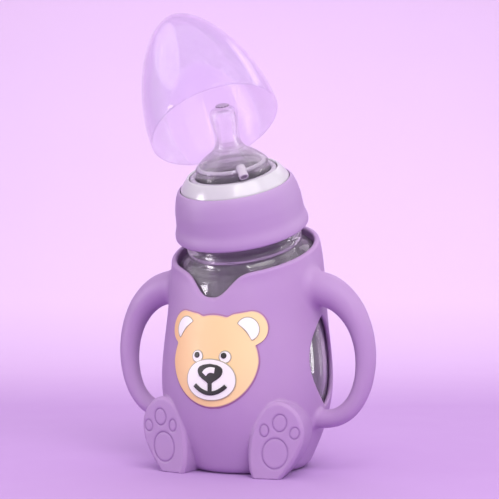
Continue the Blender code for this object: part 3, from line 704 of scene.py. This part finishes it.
def surface_net(axes, values):
    """Points and quads of the zero surface: one point in each cell that it crosses."""
    inside = values < 0
    shape = np.array(values.shape) - 1
    corners = [(i, j, k) for i in (0, 1) for j in (0, 1) for k in (0, 1)]

    def corner(grid, offset):
        return grid[tuple(slice(o, o + n) for o, n in zip(offset, shape))]

    total = np.zeros(list(shape) + [3])
    count = np.zeros(shape)
    for axis in range(3):
        for start in corners:
            if start[axis]:
                continue
            end = tuple(1 if a == axis else o for a, o in enumerate(start))
            a, b = corner(values, start), corner(values, end)
            crosses = corner(inside, start) != corner(inside, end)
            share = np.where(crosses, a / np.where(crosses, a - b, 1.0), 0.0)
            for other in range(3):
                total[..., other] += crosses * (share if other == axis else start[other])
            count += crosses
    cells = np.argwhere(count > 0)
    number = np.full(shape, -1)
    number[tuple(cells.T)] = np.arange(len(cells))
    places = total[tuple(cells.T)] / count[tuple(cells.T)][:, None]
    lows = np.array([axis[0] for axis in axes])
    points = lows + (cells + places) * CELL

    quads = []
    for axis in range(3):
        one, two = (axis + 1) % 3, (axis + 2) % 3
        ahead = np.take(inside, range(1, values.shape[axis]), axis)
        behind = np.take(inside, range(values.shape[axis] - 1), axis)
        edges = np.argwhere(ahead != behind)
        kept = (edges[:, one] > 0) & (edges[:, two] > 0)
        kept &= (edges[:, one] < shape[one]) & (edges[:, two] < shape[two])
        edges = edges[kept]
        loop = []
        for d_one, d_two in ((1, 1), (0, 1), (0, 0), (1, 0)):
            cell = edges.copy()
            cell[:, one] -= d_one
            cell[:, two] -= d_two
            loop.append(number[tuple(cell.T)])
        quad = np.column_stack(loop)
        leaving = behind[tuple(edges.T)]
        quads.append(np.where(leaving[:, None], quad, quad[:, ::-1]))
    return points, np.concatenate(quads)


def settle(field, points, rounds=3):
    """Moves points onto the zero surface along the field's slope, by small moves."""
    step = 0.02
    longest_move = 0.6
    least_squared_slope = 0.25
    for _ in range(rounds):
        here = field(points)
        slope = np.empty_like(points)
        for axis in range(3):
            shift = np.zeros(3)
            shift[axis] = step
            slope[:, axis] = (field(points + shift) - here) / step
        size = np.maximum((slope ** 2).sum(1), least_squared_slope)
        points = points - slope * (np.clip(here, -longest_move, longest_move) / size)[:, None]
    return points


def wanted_edge(p):
    """How long an edge may be here: short where the shape turns sharply or carries a line."""
    size = np.full(len(p), PLAIN_EDGE)
    side = sleeve_side(p)
    at_rim = (np.abs(rim_distance(p)) < 2.2) & (side < 1.0)
    in_wall = np.abs(side + WALL_TOP / 2) < 1.8
    at_window = (np.abs(p[:, 0]) > HANDLE_NEAREST_X) & (np.abs(window_distance(p)) < 1.6)
    at_window &= np.abs(p[:, 2] - WINDOW_MIDDLE) < WINDOW_HALF_HEIGHT + 2.0
    outward, depth, height = sole_coordinates(p)
    at_sole = (depth < 3.0) & (np.abs(outward) < 15.0) & (height < 36.0)
    size[at_rim | (at_window & in_wall) | at_sole] = FINE_EDGE
    size[paw_lines(p) > 0.03] = FINEST_EDGE
    return size


def refined(field, points, quads):
    """The mesh with its edges halved, and halved again, wherever that is wanted."""
    bm = bmesh.new()
    verts = [bm.verts.new(point) for point in points]
    for quad in quads:
        bm.faces.new([verts[i] for i in quad])
    for wanted in (FINE_EDGE, FINEST_EDGE):
        places = np.array([v.co for v in bm.verts])
        marked = wanted_edge(places) <= wanted
        bm.verts.index_update()
        edges = [e for e in bm.edges if marked[e.verts[0].index] and marked[e.verts[1].index]]
        bmesh.ops.subdivide_edges(bm, edges=edges, cuts=1, use_grid_fill=True)
        places = settle(field, np.array([v.co for v in bm.verts]), 2)
        for vert, place in zip(bm.verts, places):
            vert.co = place
    return bm


def silicone_piece():
    """The sleeve with its handles and feet, the engraved lines marked for the painted shade the material
    gives them.
    """
    points, quads = surface_net(*grid_values(silicone))
    points = settle(silicone, points)
    bm = refined(silicone, points, quads)
    bmesh.ops.triangulate(bm, faces=[f for f in bm.faces if len(f.verts) > 4])
    places = np.array([v.co for v in bm.verts])
    lines = paw_lines(places)
    mesh = bpy.data.meshes.new("silicone_sleeve")
    bm.to_mesh(mesh)
    bm.free()
    mesh.transform(Matrix.Scale(MM, 4))
    # Painted shade: the "line" attribute says how much groove shade the material paints in.
    mark(mesh, "line", lines)
    nodes = ["sleeve_body"]
    for side in ("left", "right"):
        nodes += ["handle_" + side, "foot_" + side]
        nodes += [f"pad_{side}_{pad}" for pad in ("heel", "toe_middle", "toe_inner", "toe_outer")]
    add_piece("silicone_sleeve", mesh, "bottle", "lilac_silicone", *nodes)


# ---- the face

def mesh_from_rows(name, rows, ring=False, values=None):
    """A closed body from rows of points in mm, each row a loop; a one-point row is a pole.

    The values, one to a row, become the piece's "edge" attribute."""
    mesh = bpy.data.meshes.new(name)
    bm = bmesh.new()
    made = [[bm.verts.new(Vector(point) * MM) for point in row] for row in rows]
    pairs = list(zip(made, made[1:]))
    if ring:
        pairs.append((made[-1], made[0]))
    for low, high in pairs:
        count = max(len(low), len(high))
        for i in range(count):
            j = (i + 1) % count
            if len(low) == 1:
                bm.faces.new((low[0], high[i], high[j]))
            elif len(high) == 1:
                bm.faces.new((low[i], low[j], high[0]))
            else:
                bm.faces.new((low[i], low[j], high[j], high[i]))
    if not ring:
        for row in (made[0], made[-1]):
            if len(row) > 2:
                bm.faces.new(row)
    bmesh.ops.recalc_face_normals(bm, faces=bm.faces)
    bm.to_mesh(mesh)
    bm.free()
    if values is not None:
        mark(mesh, "edge", np.repeat(values, [len(row) for row in rows]))
    return mesh


def on_sleeve(across, height, lift):
    """Points this far round the sleeve's front and this high, lifted off its wall."""
    angle = np.asarray(across) / FACE_WRAP_RADIUS
    height = np.broadcast_to(np.asarray(height, float), angle.shape)
    radius = np.full(angle.shape, FACE_WRAP_RADIUS)
    for _ in range(FACE_ROUNDS):
        p = np.column_stack([radius * np.sin(angle), -radius * np.cos(angle), height])
        radius = radius - sleeve_side(p) + lift
    return np.column_stack([radius * np.sin(angle), -radius * np.cos(angle), height])


def reach_of(shape, centre, count):
    """How far a flat shape reaches from its centre, in each of many directions."""
    angles = turn_angles(count)
    steps = np.arange(0.0, REACH_END, REACH_STEP)
    u = centre[0] + steps[None, :] * np.cos(angles)[:, None]
    v = centre[1] + steps[None, :] * np.sin(angles)[:, None]
    values = shape(u, v)
    last = np.array([np.flatnonzero(row < 0)[-1] for row in values])
    index = np.arange(count)
    inner, outer = values[index, last], values[index, last + 1]
    return angles, steps[last] + REACH_STEP * inner / (inner - outer)


# A layer's rounded top edge: (share of the bevel in from its edge, share of it below its top).
BEVEL_STEPS = [(1.0 - math.cos(a), 1.0 - math.sin(a)) for a in np.linspace(0.0, math.pi / 2, 6)]
SUNK = 0.5
LIP_LIFT = 0.2
LIP_SHOULDER = 0.7
# Painted highlight: on a layer with a lip, its rounded edge takes only this share of the outline colour, a
# paler pink band.
BEVEL_HIGHLIGHT_TINT = 0.3
OUTLINE_END = 1.02
OUTLINE_FADE = 1.35


def inlay(name, shape, centre, lift, bevel, slot, count=160, line=0.4, lip=0.0):
    """A thin layer that follows the sleeve, its top edge rounded.

    line is the width of its darker outline, and lip that of a low step round its foot."""
    angles, reach = reach_of(shape, centre, count)

    def row(inset, height, share=1.0):
        distance = np.maximum(reach - inset, 0.02) * share
        across = centre[0] + distance * np.cos(angles)
        return on_sleeve(across, centre[1] + distance * np.sin(angles), height)

    # Each step is (inset, height, share of the reach, value of the "edge" attribute).
    steps = [(-lip, -SUNK, 1.0, 1.0)]
    if lip:
        lip_steps = ((-lip, LIP_LIFT * 0.5), (-lip * LIP_SHOULDER, LIP_LIFT), (-0.03, LIP_LIFT))
        steps += [(inset, height, 1.0, 1.0) for inset, height in lip_steps]
    # Painted highlight on the bevel of a layer with a lip; on other layers the bevel takes the full outline
    # colour.
    bevelled = BEVEL_HIGHLIGHT_TINT if lip else 1.0
    steps += [(inwards * bevel, lift - below * bevel, 1.0, bevelled) for inwards, below in BEVEL_STEPS]
    if line:
        steps.append((max(bevel, line) * OUTLINE_END, lift, 1.0, 1.0))
    inner = max(bevel, line) * OUTLINE_FADE
    steps += [(inner, lift, share, 0.0) for share in (1.0, 0.9, 0.75, 0.6, 0.45, 0.3, 0.15)]
    rows = [[on_sleeve([centre[0]], centre[1], -SUNK)[0]]]
    rows += [row(-lip, -SUNK, share) for share in (0.33, 0.67)]
    values = [0.0, 0.0, 0.0]
    for inset, height, share, value in steps:
        rows.append(row(inset, height, share))
        values.append(value)
    rows.append([on_sleeve([centre[0]], centre[1], lift)[0]])
    values.append(0.0)
    add_piece(name, mesh_from_rows(name, rows, values=values), "bottle", slot, name)


def band(name, path, half_width, lift, bevel, slot):
    """A flat-topped band along a path in the drawing, its top edges rounded."""
    path = np.asarray(path, float)
    along = np.gradient(path, axis=0)
    along /= np.linalg.norm(along, axis=1)[:, None]
    beside = np.column_stack([-along[:, 1], along[:, 0]])
    section = [(-1.0, 0.0, -SUNK)]
    section += [(-1.0, inwards * bevel, lift - below * bevel) for inwards, below in BEVEL_STEPS]
    section += [(1.0, inwards * bevel, lift - below * bevel) for inwards, below in reversed(BEVEL_STEPS)]
    section.append((1.0, 0.0, -SUNK))
    columns = []
    for side, inset, height in section:
        place = path + beside * side * (half_width - inset)
        columns.append(on_sleeve(place[:, 0], place[:, 1], height))
    rows = list(zip(*columns))
    add_piece(name, mesh_from_rows(name, rows, values=[0.0] * len(rows)), "bottle", slot, name)


def ellipse(centre, half, power=2.0):
    """Signed distance, near enough, to an oval."""
    def shape(across, height):
        u = np.abs(across - centre[0]) / half[0]
        v = np.abs(height - centre[1]) / half[1]
        return ((u ** power + v ** power) ** (1 / power) - 1.0) * min(half)
    return shape


def nose_shape(across, height):
    """Signed distance, near enough, to the nose."""
    heights, halves = (np.array(column) for column in zip(*NOSE_PROFILE))
    half = np.interp(height, heights, halves)
    outside = np.maximum(heights[0] - height, height - heights[-1])
    return np.where(outside > 0, outside, (np.abs(across) - half) * 0.8)


def inset_shape(sign):
    """Signed distance to the pale inside of an ear: a disc cut off by the head's round."""
    def shape(across, height):
        beside = sign * (across - EAR_SHIFT) - EAR_INSET_CENTRE[0]
        circle = np.hypot(beside, height - EAR_INSET_CENTRE[1]) - EAR_INSET_RADIUS
        kept = EAR_INSET_INNER_EDGE - np.hypot(across - HEAD_CENTRE[0], height - HEAD_CENTRE[1])
        return round_and(circle, kept, 0.5)
    return shape


def disc(name, centre, radius, **settings):
    """A round inlay."""
    inlay(name, ellipse(centre, (radius, radius)), centre, **settings)


def make_face():
    """The bear's head and what lies on it, from the lowest layer up."""
    white = {"slot": "white_silicone"}
    black = {"slot": "black_silicone"}
    inlay("bear_head", head_distance, HEAD_CENTRE, 0.7, 0.4, "peach_silicone", 360, 0.0, PATCH_LIP)
    for side, sign in (("left", -1), ("right", 1)):
        middle = (sign * (EAR_INSET_CENTRE[0] + 1.4) + EAR_SHIFT, EAR_INSET_CENTRE[1] + 1.3)
        inlay("ear_inset_" + side, inset_shape(sign), middle, lift=0.95, bevel=0.2, **white)
        eye = (sign * EYE_CENTRE[0], EYE_CENTRE[1])
        disc("eye_white_" + side, eye, EYE_RADIUS, lift=0.95, bevel=0.2, count=80, **white)
        pupil = (sign * PUPIL_CENTRE[0] + PUPIL_SHIFT, PUPIL_CENTRE[1])
        disc("pupil_" + side, pupil, PUPIL_RADIUS, lift=1.4, bevel=0.3, count=48, line=0.0, **black)
    muzzle = ellipse(MUZZLE_CENTRE, MUZZLE_HALF, MUZZLE_POWER)
    inlay("bear_muzzle", muzzle, MUZZLE_CENTRE, lift=1.25, bevel=0.25, count=200, **white)
    inlay("bear_nose", nose_shape, NOSE_CENTRE, lift=1.7, bevel=0.35, line=0.0, **black)
    band("nose_shine", through(SHINE_PATH, 8), SHINE_HALF_WIDTH, lift=1.9, bevel=0.15, **white)
    smile_x = np.linspace(-SMILE_HALF_WIDTH, SMILE_HALF_WIDTH, 41)
    smile = np.column_stack([smile_x, SMILE_LOW + SMILE_RISE * (smile_x / SMILE_HALF_WIDTH) ** 2])
    band("mouth_smile", smile, MOUTH_THICKNESS / 2, lift=1.68, bevel=0.3, **black)
    stem_y = np.linspace(SMILE_LOW - 0.2, NOSE_PROFILE[0][0] + 0.4, 12)
    stem = np.column_stack([np.zeros(len(stem_y)), stem_y])
    band("mouth_stem", stem, MOUTH_THICKNESS / 2, lift=1.66, bevel=0.3, **black)


# ---- turned pieces

def softened(profile, closed=True, steps=5):
    """The profile of (radius, height, softness) points with each corner rounded off by its softness."""
    most = 0.48
    count = len(profile)
    made = []
    for i, (radius, height, soft) in enumerate(profile):
        here = np.array([radius, height])
        if not closed and i in (0, count - 1):
            made.append(here)
            continue
        before = np.array(profile[i - 1][:2])
        after = np.array(profile[(i + 1) % count][:2])
        back, ahead = before - here, after - here
        start = here + back * min(soft / np.linalg.norm(back), most)
        end = here + ahead * min(soft / np.linalg.norm(ahead), most)
        for share in np.linspace(0.0, 1.0, steps + 1):
            made.append((1 - share) ** 2 * start + 2 * share * (1 - share) * here + share ** 2 * end)
    return made


def turned_mesh(name, profile, count=SIDES, matrix=NECK_MATRIX, lobes=0, lobe_depth=0.0):
    """A closed profile of (radius, height) turned about a frame's Z axis, its radius waved by the lobes."""
    angles = turn_angles(count)
    wave = 1.0 + lobe_depth * np.cos(lobes * angles)
    circle = np.column_stack([wave * np.cos(angles), wave * np.sin(angles)])
    rows = [
        [(radius * x, radius * y, height) for x, y in (circle if radius > 1e-6 else circle[:1])]
        for radius, height in profile
    ]
    ring = len(rows[0]) > 1 and len(rows[-1]) > 1
    mesh = mesh_from_rows(name, rows, ring=ring)
    mesh.transform(matrix)
    return mesh


def turned(name, profile, body, slot, count=SIDES, matrix=NECK_MATRIX, finish=None):
    """A turned piece that stands for the CAD node of its name."""
    add_piece(name, turned_mesh(name, profile, count, matrix), body, slot, name, finish=finish)


def ring_round(centre, radii, back=(0.0, 1.0, 0.0)):
    """Points round a centre, in the plane of the X axis and the direction given."""
    angles = turn_angles(SIDES)
    side = np.cos(angles)[:, None] * [1.0, 0.0, 0.0] + np.sin(angles)[:, None] * np.asarray(back)
    return np.asarray(centre) + np.broadcast_to(radii, SIDES)[:, None] * side


def flat_ring(radius, height):
    return ring_round((0.0, 0.0, height), radius)


def glass_body_ring(ring, inwards):
    """The glass under a ring of the sleeve: its outer wall, or a ring this far inside that."""
    lean = float(RING_LEAN(ring))
    radius = float(RING_RADIUS(ring) - wall_thickness(ring)) - GLASS_GAP - inwards
    centre = (0.0, float(RING_Y(ring)), float(RING_Z(ring)))
    return ring_round(centre, radius, (0.0, math.cos(lean), math.sin(lean)))


def neck_ring(radii, height):
    return ring_round(NECK_PIVOT + height * NECK_AXIS, radii, NECK_BACK)


def threaded_ring(height):
    """A ring of the neck, which swells where the screw thread passes this height."""
    middle = THREAD_START + THREAD_PITCH * np.arange(SIDES) / SIDES
    radii = np.full(SIDES, GLASS_NECK[-1][0])
    for turn in range(THREAD_TURNS):
        radii += THREAD_DEPTH * np.exp(-(((height - middle - turn * THREAD_PITCH) / THREAD_WIDTH) ** 2))
    return neck_ring(radii, height)


def glass_piece():
    """The bottle with its true wall: the body inside the sleeve, the bead, and a raised screw thread."""
    rings = np.linspace(GLASS_BASE + GLASS_BODY_START, LAST_RING - GLASS_BODY_BELOW_RIM, GLASS_BODY_ROWS)
    foot = [(radius, GLASS_BASE + height, soft) for radius, height, soft in GLASS_FOOT]
    rows = [[(0.0, 0.0, foot[0][1])]]
    rows += [flat_ring(radius, height) for radius, height in softened(foot, closed=False)]
    rows += [glass_body_ring(ring, 0.0) for ring in rings]
    neck = [place for place in softened(GLASS_NECK, closed=False) if place[1] < THREAD_ROWS[0]]
    rows += [neck_ring(radius, height) for radius, height in neck]
    rows += [threaded_ring(height) for height in THREAD_ROWS]
    rows += [neck_ring(radius, height) for radius, height in softened(GLASS_LIP, closed=False)]
    rows += [glass_body_ring(ring, GLASS_WALL) for ring in rings[::-1]]
    rows += [flat_ring(radius, GLASS_BASE + height) for radius, height in GLASS_INNER_FLOOR[:-1]]
    rows.append([(0.0, 0.0, GLASS_BASE + GLASS_INNER_FLOOR[-1][1])])
    add_piece("glass_bottle", mesh_from_rows("glass_bottle", rows), "bottle", "glass", "glass_bottle")


def make_screw_top():
    turned("collar_shell", softened(COLLAR_SHELL), "screw_collar", "lilac_plastic")
    turned("collar_core", softened(COLLAR_CORE), "screw_collar", "white_plastic")


def teat_wall():
    """The teat's closed section: its outer face with shallow ridges, its inner face, and its flange."""
    outer = through(TEAT_OUTSIDE)
    ridges = np.zeros(len(outer))
    for heights, depth, width in (
        (TEAT_RIDGES, TEAT_RIDGE_DEPTH, TEAT_RIDGE_WIDTH), (NIB_RINGS, NIB_RING_DEPTH, NIB_RING_WIDTH)
    ):
        for height in heights:
            ridges += depth * np.exp(-(((outer[:, 1] - height) / width) ** 2))
    along = np.gradient(outer, axis=0)
    along /= np.linalg.norm(along, axis=1)[:, None]
    outer = outer + ridges[:, None] * np.column_stack([-along[:, 1], along[:, 0]])
    return [tuple(point) for point in np.concatenate([outer, through(TEAT_INSIDE)])]


def make_teat():
    turned("teat", teat_wall(), "teat_unit", "clear_silicone", TEAT_SIDES)
    tip_profile = softened(TEAT_TIP, closed=False)
    tip = turned_mesh("teat_tip", tip_profile, lobes=TIP_LOBES, lobe_depth=TIP_LOBE_DEPTH)
    add_piece("teat_tip", tip, "teat_unit", "clear_silicone", finish="tip_silicone")
    turns = turn_angles(ROLL_SIDES)
    for name, radius, height, half in TEAT_ROLLS:
        circle = np.column_stack([radius + half * np.cos(turns), height + half * np.sin(turns)])
        add_piece(name, turned_mesh(name, circle), "teat_unit", "clear_silicone", finish="roll_silicone")


def make_vent():
    """The vent tube that stands out of the teat's side, with a blind bore in its end."""
    start, end = (
        Vector((math.sin(VENT_AZIMUTH) * reach, -math.cos(VENT_AZIMUTH) * reach, height))
        for reach, height in (VENT_START, VENT_END)
    )
    length = (end - start).length
    lean = (end - start).to_track_quat("Z", "X").to_matrix().to_4x4()
    placed = NECK_MATRIX @ Matrix.Translation(start * MM) @ lean
    section = (
        (0.0, 0.0, 0.0), (VENT_RADIUS, 0.0, 0.5), (VENT_RADIUS, length, 0.35), (VENT_BORE, length, 0.2),
        (VENT_BORE, length - VENT_BORE_DEPTH, 0.2), (0.0, length - VENT_BORE_DEPTH, 0.0),
    )
    tube = softened(section, closed=False)
    turned("vent_valve", tube, "teat_unit", "clear_silicone", VENT_SIDES, placed, "milky_silicone")


def cap_rest_matrix():
    """The lifted cap's frame: the closed frame swung about a distant line."""
    seated = NECK_MATRIX @ Matrix.Translation((0.0, 0.0, CAP_SEAT * MM))
    level = Vector((math.cos(CAP_HINGE_AZIMUTH), math.sin(CAP_HINGE_AZIMUTH), 0.0))
    point = seated @ ((level * CAP_HINGE_REACH + Vector((0.0, 0.0, CAP_HINGE_RISE))) * MM)
    line = NECK_MATRIX.to_3x3() @ Vector((level.y, -level.x, 0.0))
    turn = Matrix.Rotation(-CAP_OPENING, 4, line)
    return Matrix.Translation(point) @ turn @ Matrix.Translation(-point) @ seated


def dome(radius, height, straight, steps=40):
    """(radius, height) from the rim to the top of a rounded dome."""
    angles = np.linspace(0.0, math.pi / 2, steps)
    power = 2 / CAP_ROUNDNESS
    radii = radius * np.maximum(np.cos(angles), 0.0) ** power
    heights = straight + (height - straight) * np.sin(angles) ** power
    radii[-1] = 0.0
    return list(zip(radii, heights))


def make_cap():
    inner = CAP_RADIUS - CAP_WALL
    outside = dome(CAP_RADIUS, CAP_HEIGHT, CAP_STRAIGHT)
    inside = dome(inner, CAP_HEIGHT - CAP_WALL, CAP_STRAIGHT)
    corners = (
        (inner, CAP_STRAIGHT, 0.0), (inner, 0.0, CAP_RIM_SOFTNESS),
        (CAP_RADIUS, 0.0, CAP_RIM_SOFTNESS), (CAP_RADIUS, CAP_STRAIGHT, 0.0),
    )
    profile = inside[::-1] + softened(corners, closed=False)[1:-1] + outside
    turned("dome_cap", profile, "cap", "cap_plastic", CAP_SIDES, cap_rest_matrix())


# ---- studio

def area_light(name, place, target, size, power, colour, lights_matt, shows):
    light = bpy.data.lights.new(name, "AREA")
    light.shape = "ELLIPSE"
    light.size = size[0]
    light.size_y = size[1]
    light.energy = power
    light.color = colour
    lamp = bpy.data.objects.new(name, light)
    lamp.visible_diffuse = lights_matt
    lamp.visible_glossy = shows
    lamp.visible_transmission = shows
    lamp.location = place
    lamp.rotation_euler = (Vector(target) - Vector(place)).to_track_quat("-Z", "Y").to_euler()
    bpy.context.scene.collection.objects.link(lamp)


def studio_floor():
    """A pale sweep: level under the object, then curving up far behind it."""
    mesh = bpy.data.meshes.new("studio_floor")
    line = [(SWEEP_START, 0.0)]
    for turn in np.linspace(0.0, math.pi / 2, 13):
        line.append((SWEEP_BEND + SWEEP_RADIUS * math.sin(turn), SWEEP_RADIUS * (1.0 - math.cos(turn))))
    line.append((SWEEP_BEND + SWEEP_RADIUS, SWEEP_TOP))
    verts = [(x, y, z) for y, z in line for x in (-SWEEP_HALF_WIDTH, SWEEP_HALF_WIDTH)]
    mesh.from_pydata(verts, [], [(i, i + 1, i + 3, i + 2) for i in range(0, len(verts) - 2, 2)])
    finish = Finish("studio_paper")
    paper = finish.mix(finish.along("Y", *WALL_FROM), FLOOR, WALL)
    finish.paint(finish.mix(finish.span(finish.noise(6.0), 0.0, 0.06), paper, FLOOR))
    finish.roughness(0.7, 0.8, 30.0)
    mesh.materials.append(finish.material)
    mesh.polygons.foreach_set("use_smooth", [True] * len(mesh.polygons))
    floor = bpy.data.objects.new("studio_floor", mesh)
    floor.rotation_euler = (0.0, 0.0, CAMERA_YAW)
    bpy.context.scene.collection.objects.link(floor)


def studio_world():
    world = bpy.data.worlds.new("studio")
    world.use_nodes = True
    shade = world.node_tree.nodes["Background"]
    shade.inputs["Color"].default_value = (*SKY, 1.0)
    shade.inputs["Strength"].default_value = SKY_STRENGTH
    bpy.context.scene.world = world


def camera_axes():
    """Unit vectors to the camera's right, its up, and from the object to the camera."""
    right = Vector((math.cos(CAMERA_YAW), math.sin(CAMERA_YAW), 0.0))
    level = math.cos(CAMERA_RISE)
    towards = Vector((math.sin(CAMERA_YAW) * level, -math.cos(CAMERA_YAW) * level, math.sin(CAMERA_RISE)))
    return right, towards.cross(right), towards


def add_camera():
    right, up, towards = camera_axes()
    target = Vector((0.0, 0.0, CAMERA_TARGET_HEIGHT)) + right * CAMERA_TARGET_RIGHT
    data = bpy.data.cameras.new("camera")
    data.lens = CAMERA_LENS
    data.sensor_width = CAMERA_SENSOR
    camera = bpy.data.objects.new("camera", data)
    turn = Matrix((right, up, towards)).transposed().to_4x4()
    camera.matrix_world = Matrix.Translation(target + towards * CAMERA_DISTANCE) @ turn
    bpy.context.scene.collection.objects.link(camera)
    bpy.context.scene.camera = camera


def make_studio():
    studio_world()
    studio_floor()
    right, _, towards = camera_axes()
    centre = Vector((0.0, 0.0, LIGHTS_AIM))
    for name, (to_right, upwards, forward), *settings in STUDIO_LIGHTS:
        place = centre + right * to_right + Vector((0.0, 0.0, upwards)) + towards * forward
        area_light(name, place, centre, *settings)
    add_camera()
    bpy.context.scene.view_settings.view_transform = "Standard"


# ---- the whole picture

def main():
    opaque_materials()
    peach_silicone()
    clear_materials()
    silicone_piece()
    make_face()
    glass_piece()
    make_screw_top()
    make_teat()
    make_vent()
    make_cap()
    make_studio()


main()
